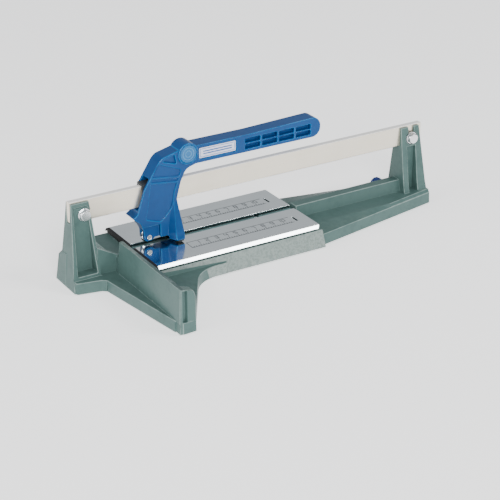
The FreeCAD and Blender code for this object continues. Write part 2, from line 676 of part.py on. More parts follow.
def axle_clip():
    ring = cyl_y(WHEEL_X, WHEEL_Z, 2.5, FORK_HALF + 0.3, FORK_HALF + 0.9)
    ring = ring.cut(cyl_y(WHEEL_X, WHEEL_Z, 1.15, 0, 20))
    return ring.cut(box(WHEEL_X - 0.8, WHEEL_X + 0.8, 0, 20, WHEEL_Z, WHEEL_Z + 5))


# Knob behind the right end

def knob_seat():
    return beam_half(KNOB_X - KNOB_R) + 0.5


def knob():
    near = knob_seat()
    wheel = cyl_y(KNOB_X, KNOB_Z, KNOB_R, near, near + KNOB_W)
    wheel = wheel.makeChamfer(0.8, [e for e in wheel.Edges if e.Closed])
    flutes = []
    for k in range(12):
        turn = math.radians(30 * k)
        x = KNOB_X + (KNOB_R + 0.6) * math.cos(turn)
        z = KNOB_Z + (KNOB_R + 0.6) * math.sin(turn)
        flutes.append(cyl_y(x, z, 1.3, near - 1, near + KNOB_W + 1))
    return wheel.cut(flutes + [cyl_y(KNOB_X, KNOB_Z, 2.2 + RUNNING_GAP, near - 1, near + KNOB_W - 2)])


def knob_stud():
    near = knob_seat()
    return cyl_y(KNOB_X, KNOB_Z, 2.2, 20, near + KNOB_W - 2.4)


def main():
    os.makedirs("parts", exist_ok=True)
    save("base_casting", [base_casting()])
    save("rail_bar", [rail_bar()])
    save("rail_bolts", [rail_bolt(x) for x in (BOLT_LEFT_X, BOLT_RIGHT_X)])
    save("rail_washers", [rail_washer(x, s) for x in (BOLT_LEFT_X, BOLT_RIGHT_X) for s in (-1, 1)])
    save("rail_nuts", [rail_nut(x) for x in (BOLT_LEFT_X, BOLT_RIGHT_X)])
    save("breaking_strip", [breaking_strip()])
    save("strip_screws", [strip_screw(x, y) for x, y in strip_places()])
    save("rubber_feet", [rubber_foot(x, y) for x, y in foot_places()])
    save("feet_screws", [foot_screw(x, y) for x, y in foot_places()])
    save("knob_stud", [knob_stud()])
    for name, sign in (("front", -1), ("rear", 1)):
        save(name + "_plate", [plate(sign)])
        save(name + "_plate_studs", [plate_stud(x, y) for x, y in stud_places(sign)])
        save(name + "_plate_clips", [plate_clip(x, y) for x, y in stud_places(sign)])
        save(name + "_plate_springs", [plate_spring(x, y) for x, y in spring_places(sign)])
        save("shoe_" + name, [shoe_half(sign)])
    save("handle_casting", [handle_casting()])
    save("pivot_pins", [pivot_pin(s) for s in (-1, 1)])
    save("badge_disc", [badge_disc()])
    save("label_plate", [label_plate()])
    save("breaker_pads", [breaker_pad(s) for s in (-1, 1)])
    save("scoring_wheel", [scoring_wheel()])
    save("wheel_axle", [wheel_axle()])
    save("axle_clip", [axle_clip()])
    save("knob", [knob()])


main()
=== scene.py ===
import json
import logging
import math
from dataclasses import dataclass
from enum import Enum
from typing import Dict, List, Optional, Sequence, Tuple

import bmesh
import bpy
from mathutils import Matrix, Vector
from mathutils.bvhtree import BVHTree


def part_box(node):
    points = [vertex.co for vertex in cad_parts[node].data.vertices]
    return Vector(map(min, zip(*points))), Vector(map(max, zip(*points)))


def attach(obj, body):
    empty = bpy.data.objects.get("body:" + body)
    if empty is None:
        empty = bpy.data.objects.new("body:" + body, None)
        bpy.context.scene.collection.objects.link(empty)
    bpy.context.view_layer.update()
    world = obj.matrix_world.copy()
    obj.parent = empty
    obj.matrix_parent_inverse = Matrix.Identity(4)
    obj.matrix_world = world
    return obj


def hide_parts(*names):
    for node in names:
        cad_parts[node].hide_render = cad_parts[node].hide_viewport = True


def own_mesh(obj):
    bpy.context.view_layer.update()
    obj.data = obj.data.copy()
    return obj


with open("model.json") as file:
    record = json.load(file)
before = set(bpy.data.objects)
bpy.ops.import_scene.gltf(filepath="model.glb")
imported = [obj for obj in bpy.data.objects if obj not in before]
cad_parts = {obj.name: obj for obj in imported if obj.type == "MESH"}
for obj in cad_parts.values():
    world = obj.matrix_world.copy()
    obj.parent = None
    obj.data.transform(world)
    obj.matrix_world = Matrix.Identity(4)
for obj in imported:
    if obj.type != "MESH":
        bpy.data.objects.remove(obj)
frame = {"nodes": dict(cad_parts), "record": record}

LOG = logging.getLogger("tile_cutter")
MM = 0.001
Colour = Tuple[float, float, float]
Point = Tuple[float, float, float]
SMOOTH_BELOW = math.radians(38)  # edges that turn by less are shaded smooth
OUTWARD = 0.05  # turn, in radians, past which a rounded face counts as an outer edge
WELD = 0.004 * MM  # corners closer than this are one
SLIVER = 0.002 * MM  # edges shorter than this are cleared away
STRAY = 0.9  # share of the rounding's width that a corner may leave the sharp shape by


# Shader arithmetic

class Flow:
    """A node socket that can be used in ordinary arithmetic."""

    def __init__(self, graph: "Graph", socket: bpy.types.NodeSocket) -> None:
        """Wrap one output socket.

        Args:
            graph: The graph that owns the socket.
            socket: The output socket to wrap.
        """
        self.graph = graph
        self.socket = socket

    def _math(self, operation: str, *others: "Flow | float", swap: bool = False) -> "Flow":
        """Add a Math node.

        Args:
            operation: Blender's name of the operation.
            others: The other inputs.
            swap: Whether the inputs are given in reverse order.

        Returns:
            The node's result.
        """
        inputs = [self, *others]
        if swap:
            inputs = inputs[::-1]
        return self.graph.node("ShaderNodeMath", "Value", *inputs, operation=operation)

    def __add__(self, other: "Flow | float") -> "Flow":
        """Return the sum."""
        return self._math("ADD", other)

    __radd__ = __add__

    def __sub__(self, other: "Flow | float") -> "Flow":
        """Return the difference."""
        return self._math("SUBTRACT", other)

    def __rsub__(self, other: float) -> "Flow":
        """Return other minus this."""
        return self._math("SUBTRACT", other, swap=True)

    def __mul__(self, other: "Flow | float") -> "Flow":
        """Return the product."""
        return self._math("MULTIPLY", other)

    __rmul__ = __mul__

    def __gt__(self, other: "Flow | float") -> "Flow":
        """Return 1 where this is larger, otherwise 0."""
        return self._math("GREATER_THAN", other)

    def __lt__(self, other: "Flow | float") -> "Flow":
        """Return 1 where this is smaller, otherwise 0."""
        return self._math("LESS_THAN", other)

    def between(self, low: float, high: float) -> "Flow":
        """Return 1 between two values, otherwise 0."""
        return (self > low) * (self < high)

    def peak(self, other: "Flow") -> "Flow":
        """Return the larger of two values."""
        return self._math("MAXIMUM", other)

    def smooth(self, low: float, high: float) -> "Flow":
        """Return a soft step.

        Args:
            low: Value at which the step is 0.
            high: Value at which the step is 1.

        Returns:
            The step, from 0 to 1.
        """
        return self.graph.node("ShaderNodeMapRange", "Result", self, low, high, 0.0, 1.0,
                               interpolation_type="SMOOTHSTEP")


class Graph:
    """The node tree of one material."""

    def __init__(self, name: str) -> None:
        """Make an empty material.

        Args:
            name: The material's name.
        """
        self.material = bpy.data.materials.new(name)
        self.material.use_nodes = True
        self.tree = self.material.node_tree
        self.tree.nodes.clear()
        self.place = self.node("ShaderNodeTexCoord", "Object")

    def node(self, kind: str, output: str, *inputs: "Flow | float | Colour | Point",
             **options: str) -> Flow:
        """Add any node.

        Args:
            kind: Blender's node type.
            output: The name of the output to return.
            inputs: Values or flows for the inputs, in order.
            options: Properties set on the node before its inputs.

        Returns:
            The chosen output.
        """
        made = self.tree.nodes.new(kind)
        for key, value in options.items():
            setattr(made, key, value)
        usable = [s for s in made.inputs if s.enabled]
        for socket, value in zip(usable, inputs):
            self.feed(socket, value)
        chosen = [s for s in made.outputs if s.enabled and s.name == output][0]
        return Flow(self, chosen)

    def feed(self, socket: bpy.types.NodeSocket, value: "Flow | float | Colour | Point") -> None:
        """Link a flow to a socket, or set a constant on it.

        Args:
            socket: The input socket.
            value: What it gets.
        """
        if isinstance(value, Flow):
            self.tree.links.new(value.socket, socket)
        elif isinstance(value, tuple) and socket.type == "RGBA":
            socket.default_value = (*value, 1.0)
        else:
            socket.default_value = value

    def axis(self, letter: str) -> Flow:
        """Return one Object coordinate in metres."""
        return self.node("ShaderNodeSeparateXYZ", letter, self.place)

    def stretched(self, scale: Point) -> Flow:
        """Return the coordinates scaled differently along each axis."""
        return self.node("ShaderNodeVectorMath", "Vector", self.place, scale, operation="MULTIPLY")

    def noise(self, scale: float, detail: float = 3.0, roughness: float = 0.5,
              at: Optional[Flow] = None) -> Flow:
        """Add a noise field.

        Args:
            scale: Noise scale; larger is finer.
            detail: Number of finer layers.
            roughness: Weight of the finer layers.
            at: Coordinates, if not the Object ones.

        Returns:
            The field, from 0 to 1.
        """
        return self.node("ShaderNodeTexNoise", "Fac", at or self.place, scale, detail, roughness)

    def specks(self, scale: float, size: float) -> Flow:
        """Add small round spots.

        Args:
            scale: Cells in a metre, with one spot in each.
            size: Radius of a spot, as a share of a cell.

        Returns:
            1 inside a spot and 0 outside.
        """
        gap = self.node("ShaderNodeTexVoronoi", "Distance", self.place, scale)
        return 1.0 - gap.smooth(size * 0.6, size)

    def blend(self, factor: "Flow | float", first: "Flow | Colour",
              second: "Flow | Colour") -> Flow:
        """Mix two colours.

        Args:
            factor: 0 for the first colour, 1 for the second.
            first: First colour.
            second: Second colour.

        Returns:
            The mixed colour.
        """
        made = self.tree.nodes.new("ShaderNodeMix")
        made.data_type = "RGBA"
        self.feed(made.inputs["Factor"], factor)
        self.feed(made.inputs[6], first)
        self.feed(made.inputs[7], second)
        return Flow(self, made.outputs[2])

    def bump(self, height: Flow, strength: float, distance: float) -> Flow:
        """Turn a height field into a normal.

        Args:
            height: The height field.
            strength: Strength of the bump.
            distance: Height of the bump in metres.

        Returns:
            The normal.
        """
        made = self.tree.nodes.new("ShaderNodeBump")
        made.inputs["Strength"].default_value = strength
        made.inputs["Distance"].default_value = distance
        self.feed(made.inputs["Height"], height)
        return Flow(self, made.outputs["Normal"])

    def surface(self, **values: "Flow | float | Colour") -> bpy.types.Material:
        """Finish the material with one Principled shader.

        Args:
            values: Inputs of the shader, with a low line for each space in their names.

        Returns:
            The finished material.
        """
        shader = self.tree.nodes.new("ShaderNodeBsdfPrincipled")
        for key, value in values.items():
            self.feed(shader.inputs[key.replace("_", " ")], value)
        output = self.tree.nodes.new("ShaderNodeOutputMaterial")
        self.tree.links.new(shader.outputs[0], output.inputs["Surface"])
        return self.material


# Finishes

class Look(Enum):
    """The kinds of surface that the tool has."""

    PAINT = "paint"
    METAL = "metal"
    SOFT = "soft"


SHINE = {Look.PAINT: 0.22, Look.SOFT: 0.3, Look.METAL: 0.5}
COAT_ROUGHNESS = 0.12
BROAD_PATCH = (38.0, 4.0, 0.6)  # scale, detail and roughness of a noise field, as in the next ones
SMALL_PATCH = (210.0, 3.0, 0.55)
FINE_GRAIN = (2.0, 0.5)  # detail and roughness; each finish gives its own scale
DIRT = (0.42, 0.72)  # where a patch of dirt or wear starts and where it is full


@dataclass(frozen=True)
class Finish:
    """One procedural finish.

    Args:
        name: Material name.
        look: Kind of surface.
        colour: Main colour.
        worn: Colour of the dirt, wear or grain mixed into it.
        roughness: Middle roughness.
        spread: How far the roughness varies.
        grain: Size of the surface grain, as noise scale.
        relief: Height of the grain in millimetres.
        coat: Weight of a clear coat.
        wear: How much of the worn colour shows.
        metallic: Metallic value, if not the look's own.
        stretch: Grain stretch along X, Y and Z.
    """

    name: str
    look: Look
    colour: Colour
    worn: Colour
    roughness: float
    spread: float = 0.1
    grain: float = 900.0
    relief: float = 0.03
    coat: float = 0.0
    wear: float = 0.3
    metallic: Optional[float] = None
    stretch: Point = (1.0, 1.0, 1.0)

    def shine(self) -> float:
        """Return how strongly a surface that isn't metal mirrors its surroundings."""
        return SHINE[self.look]

    def metal(self) -> float:
        """Return the metallic value."""
        if self.metallic is not None:
            return self.metallic
        return 1.0 if self.look is Look.METAL else 0.0

    def build(self) -> bpy.types.Material:
        """Build the node tree and return its material."""
        graph = Graph(self.name)
        along = graph.stretched(self.stretch)
        broad = graph.noise(*BROAD_PATCH)
        fine = graph.noise(self.grain, *FINE_GRAIN, along)
        patch = (broad * 0.6 + graph.noise(*SMALL_PATCH, along) * 0.4).smooth(*DIRT)
        colour = graph.blend(patch * self.wear, self.colour, self.worn)
        rough = self.roughness + (broad - 0.5) * self.spread + (fine - 0.5) * self.spread * 0.6
        normal = graph.bump(fine, 0.6, self.relief * MM)
        return graph.surface(Base_Color=colour, Metallic=self.metal(), Roughness=rough,
                             Specular_IOR_Level=self.shine(), Coat_Weight=self.coat,
                             Coat_Roughness=COAT_ROUGHNESS, Normal=normal)


@dataclass(frozen=True)
class RawCasting(Finish):
    """Bare cast alloy with the mottled skin of an unpainted die casting.

    Args:
        speck: Colour of the pits.
        pit: Scale and size of the pits.
        pit_depth: Share of the relief that a pit goes down by.
    """

    speck: Colour = (0.22, 0.27, 0.26)
    pit: Tuple[float, float] = (520.0, 0.32)
    pit_depth: float = 0.8

    def build(self) -> bpy.types.Material:
        """Build the node tree and return its material."""
        graph = Graph(self.name)
        broad = graph.noise(60.0, 5.0, 0.65)
        mottle = graph.noise(420.0, 4.0, 0.7)
        pits = graph.specks(*self.pit) * graph.noise(90.0, 2.0).smooth(0.45, 0.6)
        spread = graph.blend(mottle.smooth(0.4, 0.66), self.colour, self.worn)
        colour = graph.blend(pits * 0.55, spread, self.speck)
        rough = self.roughness + (broad - 0.5) * self.spread + pits * 0.1
        normal = graph.bump(mottle - pits * self.pit_depth, 0.55, self.relief * MM)
        return graph.surface(Base_Color=colour, Metallic=self.metal(), Roughness=rough,
                             Normal=normal)


@dataclass(frozen=True)
class Chrome(Finish):
    """Chromed sheet, drawn along its length, with faint smears."""

    def build(self) -> bpy.types.Material:
        """Build the node tree and return its material."""
        graph = Graph(self.name)
        brushed = graph.noise(self.grain, 2.0, 0.5, graph.stretched(self.stretch))
        smear = graph.noise(22.0, 4.0, 0.6)
        colour = graph.blend(smear.smooth(0.45, 0.8) * self.wear, self.colour, self.worn)
        rough = self.roughness + (smear - 0.5) * self.spread + (brushed - 0.5) * 0.04
        normal = graph.bump(brushed, 0.5, self.relief * MM)
        return graph.surface(Base_Color=colour, Metallic=self.metal(), Roughness=rough,
                             Normal=normal)


@dataclass(frozen=True)
class LabelFilm(Finish):
    """Plain pale film with a thin frame and two plain bars; the pale colour is a painted
    reflection of bright light on a glossy panel.

    Args:
        bar: Colour of the frame and the bars.
        middle: X and Z of the film's middle, in metres.
        half: Half width and half height of the film, in metres.
        inset: Distance from the film's edge to the frame, in millimetres.
        frame_line: Width of the frame in millimetres.
        bar_end: Distance from the film's end to a bar's end, in millimetres.
        bar_band: Distances from the middle at which a bar starts and stops, in millimetres.
    """

    bar: Colour = (0.02, 0.10, 0.34)
    middle: Tuple[float, float] = (0.0, 0.1)
    half: Tuple[float, float] = (0.019, 0.005)
    inset: float = 0.9
    frame_line: float = 0.5
    bar_end: float = 4.0
    bar_band: Tuple[float, float] = (0.6, 1.7)

    def build(self) -> bpy.types.Material:
        """Build the node tree and return its material."""
        graph = Graph(self.name)
        x = graph.axis("X") - self.middle[0]
        z = graph.axis("Z") - self.middle[1]
        wide, high = self.half
        inset = self.inset * MM
        outer = x.between(-wide + inset, wide - inset) * z.between(-high + inset, high - inset)
        line = inset + self.frame_line * MM
        inner = x.between(-wide + line, wide - line) * z.between(-high + line, high - line)
        length = wide - self.bar_end * MM
        near, far = (edge * MM for edge in self.bar_band)
        bars = x.between(-length, length) * z.between(near, far).peak(z.between(-far, -near))
        printed = (outer * (1.0 - inner)).peak(bars)
        rubbed = graph.noise(160.0, 4.0, 0.6).smooth(0.55, 0.7)
        # the pale film colour is a painted reflection of bright light on the glossy panel
        paper = graph.blend(graph.noise(45.0, 3.0) * self.wear, self.colour, self.worn)
        colour = graph.blend(printed * (1.0 - rubbed * 0.5), paper, self.bar)
        fine = graph.noise(self.grain, 2.0)
        rough = self.roughness + (fine - 0.5) * self.spread
        normal = graph.bump(fine, 0.4, self.relief * MM)
        return graph.surface(Base_Color=colour, Metallic=self.metal(), Roughness=rough,
                             Specular_IOR_Level=self.shine(), Normal=normal)


class Palette:
    """Builds each finish once and hands out its material."""

    def __init__(self) -> None:
        """Start with no materials."""
        self.made: Dict[str, bpy.types.Material] = {}

    def get(self, finish: Finish) -> bpy.types.Material:
        """Return the material of a finish."""
        if finish.name not in self.made:
            self.made[finish.name] = finish.build()
        return self.made[finish.name]


CASTING = Finish(
    "casting_paint", Look.PAINT, (0.076, 0.138, 0.128), (0.046, 0.094, 0.087),
    roughness=0.42, spread=0.14, grain=1500.0, relief=0.06, coat=0.05, wear=0.6)
# Lighter paint on the casting's outer rounded edges: paint worn thin there, plus a painted
# highlight along each edge.
CASTING_EDGE_WEAR_HIGHLIGHT = Finish(
    "casting_edge", Look.PAINT, (0.22, 0.30, 0.28), (0.086, 0.150, 0.140),
    roughness=0.32, spread=0.12, grain=1500.0, relief=0.04, coat=0.10, wear=1.0)
RAW = RawCasting(
    "raw_casting", Look.METAL, (0.27, 0.325, 0.305), (0.18, 0.23, 0.215),
    roughness=0.46, spread=0.16, grain=600.0, relief=0.08, metallic=0.35)
MACHINED = Finish(
    "machined_edge", Look.METAL, (0.075, 0.120, 0.110), (0.24, 0.30, 0.29),
    roughness=0.44, spread=0.16, grain=500.0, relief=0.10, wear=0.75, metallic=0.2,
    stretch=(3.0, 1.0, 1.0))
BLUE = Finish(
    "blue_paint", Look.PAINT, (0.0003, 0.056, 0.205), (0.0002, 0.036, 0.140),
    roughness=0.33, spread=0.10, grain=1300.0, relief=0.05, coat=0.06, wear=0.4)
# Lighter blue on the handle's outer rounded edges: paint worn thin there, plus a painted highlight
# along each edge.
BLUE_EDGE_WEAR_HIGHLIGHT = Finish(
    "blue_edge", Look.PAINT, (0.006, 0.140, 0.380), (0.0006, 0.065, 0.225),
    roughness=0.24, spread=0.10, grain=1300.0, relief=0.03, coat=0.15, wear=1.0)
BLUE_PLASTIC = Finish(
    "blue_plastic", Look.SOFT, (0.001, 0.030, 0.20), (0.001, 0.02, 0.14),
    roughness=0.38, spread=0.1, grain=1600.0, relief=0.03, coat=0.1, wear=0.3)
BADGE = Finish(
    "badge_enamel", Look.PAINT, (0.018, 0.150, 0.36), (0.008, 0.10, 0.27),
    roughness=0.26, spread=0.08, grain=1400.0, relief=0.02, coat=0.3, wear=0.4)
BADGE_RING = Finish(
    "badge_ring", Look.PAINT, (0.12, 0.33, 0.56), (0.03, 0.16, 0.38),
    roughness=0.24, spread=0.08, grain=1400.0, relief=0.02, coat=0.2, wear=0.6)
LABEL_LOW, LABEL_HIGH = (Vector(corner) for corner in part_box("label_plate"))
# Pale lavender film colour: a painted reflection of bright light on the glossy blue panel; the
# frame and bars stand for its raised letters.
LABEL = LabelFilm(
    "label_film", Look.SOFT, (0.72, 0.74, 0.88), (0.56, 0.59, 0.76),
    roughness=0.40, spread=0.1, grain=1100.0, relief=0.01, wear=0.5,
    middle=((LABEL_LOW.x + LABEL_HIGH.x) / 2, (LABEL_LOW.z + LABEL_HIGH.z) / 2),
    half=((LABEL_HIGH.x - LABEL_LOW.x) / 2, (LABEL_HIGH.z - LABEL_LOW.z) / 2))
# The cream tint of the polished steel is a painted reflection of warm surroundings.
RAIL = Finish(
    "bright_bar", Look.METAL, (0.83, 0.77, 0.65), (0.70, 0.63, 0.50),
    roughness=0.30, spread=0.10, grain=900.0, relief=0.02, wear=0.35, metallic=0.8,
    stretch=(0.06, 1.0, 1.0))
# Near-white top of the bar: a painted highlight, standing for the reflection of the bright
# surroundings.
RAIL_TOP_HIGHLIGHT = Finish(
    "bright_bar_top", Look.METAL, (0.97, 0.96, 0.93), (0.88, 0.86, 0.80),
    roughness=0.36, spread=0.08, grain=900.0, relief=0.02, wear=0.3, metallic=0.1,
    stretch=(0.06, 1.0, 1.0))
# Dark underside and lower chamfer of the bar: painted shade, where the underside lies in shadow.
RAIL_UNDER_SHADE = Finish(
    "bright_bar_under", Look.METAL, (0.20, 0.19, 0.17), (0.09, 0.085, 0.08),
    roughness=0.42, spread=0.1, grain=900.0, relief=0.03, wear=0.5, metallic=0.6)
CHROME = Chrome(
    "chrome_sheet", Look.METAL, (0.84, 0.90, 0.92), (0.72, 0.78, 0.81),
    roughness=0.12, spread=0.08, grain=900.0, relief=0.01, wear=0.5, stretch=(0.08, 1.0, 1.0))
# The stamped marks are real; their dark colour is painted shade, standing for the shadow inside
# the stamped grooves.
STAMPED = Finish(
    "stamped_mark", Look.METAL, (0.020, 0.024, 0.028), (0.07, 0.08, 0.09),
    roughness=0.46, spread=0.12, grain=900.0, relief=0.03, wear=0.5, metallic=0.5)
ZINC = Finish(
    "zinc_plate", Look.METAL, (0.80, 0.82, 0.84), (0.60, 0.62, 0.62),
    roughness=0.24, spread=0.12, grain=1200.0, relief=0.02, wear=0.4)
SPRING = Finish(
    "spring_wire", Look.METAL, (0.42, 0.43, 0.45), (0.25, 0.25, 0.26),
    roughness=0.32, spread=0.1, grain=1500.0, relief=0.02, wear=0.4)
DARK_STEEL = Finish(
    "dark_steel", Look.METAL, (0.050, 0.105, 0.105), (0.03, 0.06, 0.06),
    roughness=0.42, spread=0.14, grain=900.0, relief=0.03, wear=0.5, metallic=0.6)
CARBIDE = Finish(
    "ground_carbide", Look.METAL, (0.52, 0.53, 0.56), (0.35, 0.36, 0.38),
    roughness=0.22, spread=0.1, grain=2000.0, relief=0.01, wear=0.3)
NYLON = Finish(
    "dark_nylon", Look.SOFT, (0.022, 0.026, 0.030), (0.05, 0.055, 0.06),
    roughness=0.48, spread=0.12, grain=1000.0, relief=0.04, wear=0.4)
RUBBER = Finish(
    "black_rubber", Look.SOFT, (0.018, 0.018, 0.018), (0.05, 0.05, 0.048),
    roughness=0.72, spread=0.14, grain=700.0, relief=0.06, wear=0.4)
SLOT_FINISH = {
    "casting": CASTING, "bright_steel": RAIL, "zinc_steel": ZINC, "dark_steel": DARK_STEEL,
    "rubber": RUBBER, "spring_steel": SPRING, "nylon": NYLON, "blue_casting": BLUE,
    "badge_blue": BADGE, "label": LABEL, "carbide": CARBIDE, "blue_plastic": BLUE_PLASTIC,
}


# Mesh helpers

def finish_mesh(name: str, mesh: bmesh.types.BMesh,
                materials: Sequence[bpy.types.Material]) -> bpy.types.Object:
    """Turn a bmesh into a smooth-shaded object at the origin.

    Args:
        name: The piece's name.
        mesh: The geometry; it is freed.
        materials: Materials in slot order.

    Returns:
        The new object.
    """
    bmesh.ops.recalc_face_normals(mesh, faces=mesh.faces)
    for edge in mesh.edges:
        edge.smooth = len(edge.link_faces) != 2 or edge.calc_face_angle(0.0) < SMOOTH_BELOW
    for face in mesh.faces:
        face.smooth = True
    data = bpy.data.meshes.new(name)
    mesh.to_mesh(data)
    mesh.free()
    for material in materials:
        data.materials.append(material)
    piece = bpy.data.objects.new(name, data)
    bpy.context.scene.collection.objects.link(piece)
    weighted = piece.modifiers.new("weighted_normals", "WEIGHTED_NORMAL")
    weighted.keep_sharp = True
    return piece


def bevel_sharp(mesh: bmesh.types.BMesh, width: float, segments: int,
                angle: float) -> List[bmesh.types.BMFace]:
    """Round the sharp edges of a mesh, and bring stray corners back to its surface.

    Args:
        mesh: The geometry to change.
        width: Bevel width in metres.
        segments: Bevel segments.
        angle: Edges that turn by more degrees than this are rounded.

    Returns:
        The faces that the rounding made.
    """
    least = math.radians(angle)
    edges = [edge for edge in mesh.edges
             if len(edge.link_faces) == 2 and edge.calc_face_angle(0.0) > least]
    sharp = BVHTree.FromBMesh(mesh)
    made = bmesh.ops.bevel(mesh, geom=edges, offset=width, segments=segments, profile=0.5,
                           affect="EDGES", clamp_overlap=False, material=-1)
    for corner in mesh.verts:
        nearest, _, _, gap = sharp.find_nearest(corner.co)
        if gap > STRAY * width:
            corner.co = nearest
    return made["faces"]


def stands_out(face: bmesh.types.BMFace) -> bool:
    """Return whether a rounded face lies on an outer edge, where a surface wears first and where a
    painted highlight is laid.
    """
    turns = [edge.calc_face_angle_signed(0.0) for edge in face.edges if len(edge.link_faces) == 2]
    return sum(turns) > OUTWARD


def settle(mesh: bmesh.types.BMesh) -> None:
    """Clear away slivers and split the many-sided faces, so that they shade evenly.

    Args:
        mesh: The geometry to change.
    """
    bmesh.ops.dissolve_degenerate(mesh, dist=SLIVER, edges=mesh.edges)
    many_sided = [face for face in mesh.faces if len(face.verts) > 4]
    bmesh.ops.triangulate(mesh, faces=many_sided, quad_method="BEAUTY", ngon_method="BEAUTY")


def cad_copy(node: str) -> bmesh.types.BMesh:
    """Copy a CAD node's mesh, with its faces joined at their shared corners.

    Args:
        node: The CAD node.

    Returns:
        The copy.
    """
    mesh = bmesh.new()
    mesh.from_mesh(frame["nodes"][node].data)
    bmesh.ops.remove_doubles(mesh, verts=mesh.verts, dist=WELD)
    return mesh


class Frame:
    """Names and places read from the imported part."""

    def __init__(self, record: dict) -> None:
        """Index the record's bodies and material slots.

        Args:
            record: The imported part's record.
        """
        bodies = record["behaviour"]["bodies"]
        self.body = {node: name for name, nodes in bodies.items() for node in nodes}
        self.slot = {row["node"]: row["material_slot"] for row in record["subparts"]}

    def join(self, piece: bpy.types.Object, node: str, stands_in: bool = True) -> None:
        """Make a piece ride with a node's body.

        Args:
            piece: The piece.
            node: The CAD node whose body and slot it takes.
            stands_in: Whether the piece is shown instead of the node.
        """
        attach(piece, self.body[node])
        if stands_in:
            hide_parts(node)


# Pieces

@dataclass
class CadPiece:
    """A piece that takes its shape from a CAD node and gets rounded edges and a finish.

    Args:
        node: The CAD node.
        bevel: Edge rounding in millimetres; 0 leaves the edges.
        segments: Bevel segments.
        angle: Edges turning by more degrees than this are rounded.
        wear_and_highlight_edge: Finish of the outer rounded edges, lighter for edge wear and a
            painted highlight, where it differs from the faces.
    """

    node: str
    bevel: float = 0.2
    segments: int = 2
    angle: float = 30.0
    wear_and_highlight_edge: Optional[Finish] = None

    def build(self) -> bmesh.types.BMesh:
        """Copy the node's mesh, round its sharp edges and mark the outer ones for edge wear and a
        painted highlight.

        Returns:
            The geometry, with material index 1 on the outer edges, which carry edge wear and a
            painted highlight.
        """
        mesh = cad_copy(self.node)
        if self.bevel > 0:
            rounded = bevel_sharp(mesh, self.bevel * MM, self.segments, self.angle)
            for face in rounded:
                # outer rounded faces get the lighter edge finish: edge wear plus a painted
                # highlight
                face.material_index = 1 if self.wear_and_highlight_edge and stands_out(face) else 0
        settle(mesh)
        return mesh

    def finishes(self, place: Frame) -> List[Finish]:
        """List the node's finishes.

        Args:
            place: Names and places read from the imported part.

        Returns:
            The finishes in slot order.
        """
        own = SLOT_FINISH[place.slot[self.node]]
        return [own, self.wear_and_highlight_edge] if self.wear_and_highlight_edge else [own]

    def dress(self, place: Frame, palette: Palette) -> bpy.types.Object:
        """Make the object, give it its finish and let it stand in for the node.

        Args:
            place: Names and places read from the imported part.
            palette: Where the materials come from.

        Returns:
            The new object.
        """
        paints = [palette.get(finish) for finish in self.finishes(place)]
        piece = finish_mesh(self.node + "_look", self.build(), paints)
        place.join(piece, self.node)
        return piece


@dataclass
class BaseCasting(CadPiece):
    """The one-piece base, with bare machined and unpainted areas.

    Args:
        fence_top: Height of the fence's machined top, in millimetres.
        level: How far a machined face may be from that height, in millimetres.
        deck: Height of the deck under the plates, in millimetres.
        raw_start: Where the bare front starts, right of the plates' left end, in millimetres.
        raw_right: How far it runs past their right end, in millimetres.
        raw_depth: How far it lies from the plates' front edge, in millimetres.
        facing: Part of a face's normal that must point up or forwards.
    """

    node: str = "base_casting"
    bevel: float = 0.55
    segments: int = 3
    angle: float = 28.0
    wear_and_highlight_edge: Optional[Finish] = CASTING_EDGE_WEAR_HIGHLIGHT
    fence_top: float = 43.0
    level: float = 0.5
    deck: float = 18.5
    raw_start: float = 30.0
    raw_right: float = 4.0
    raw_depth: float = 4.0
    facing: float = 0.7

    def material_of(self, face: bmesh.types.BMFace, box_low: Vector, box_high: Vector) -> int:
        """Choose a face's finish.

        Args:
            face: The face.
            box_low: Low corner of the front plate.
            box_high: High corner of the rear plate.

        Returns:
            0 for paint, 1 for a worn edge with a painted highlight, 2 for raw casting or 3 for a
            machined face.
        """
        centre = face.calc_center_median()
        at_top = abs(centre.z - self.fence_top * MM) < self.level * MM
        if at_top and face.normal.z > self.facing:
            return 3
        left = box_low.x + self.raw_start * MM
        along = left < centre.x < box_high.x + self.raw_right * MM
        front = abs(centre.y - box_low.y) < self.raw_depth * MM and face.normal.y < -self.facing
        if along and front and centre.z < self.deck * MM:
            return 2
        return face.material_index

    def dress(self, place: Frame, palette: Palette) -> bpy.types.Object:
        """Round the casting, then paint it face by face.

        Args:
            place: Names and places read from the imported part.
            palette: Where the materials come from.

        Returns:
            The new object.
        """
        mesh = self.build()
        box_low = Vector(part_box("front_plate")[0])
        box_high = Vector(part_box("rear_plate")[1])
        mesh.normal_update()
        for face in mesh.faces:
            face.material_index = self.material_of(face, box_low, box_high)
        paints = [palette.get(finish) for finish in (CASTING, CASTING_EDGE_WEAR_HIGHLIGHT, RAW, MACHINED)]
        piece = finish_mesh(self.node + "_look", mesh, paints)
        place.join(piece, self.node)
        return piece


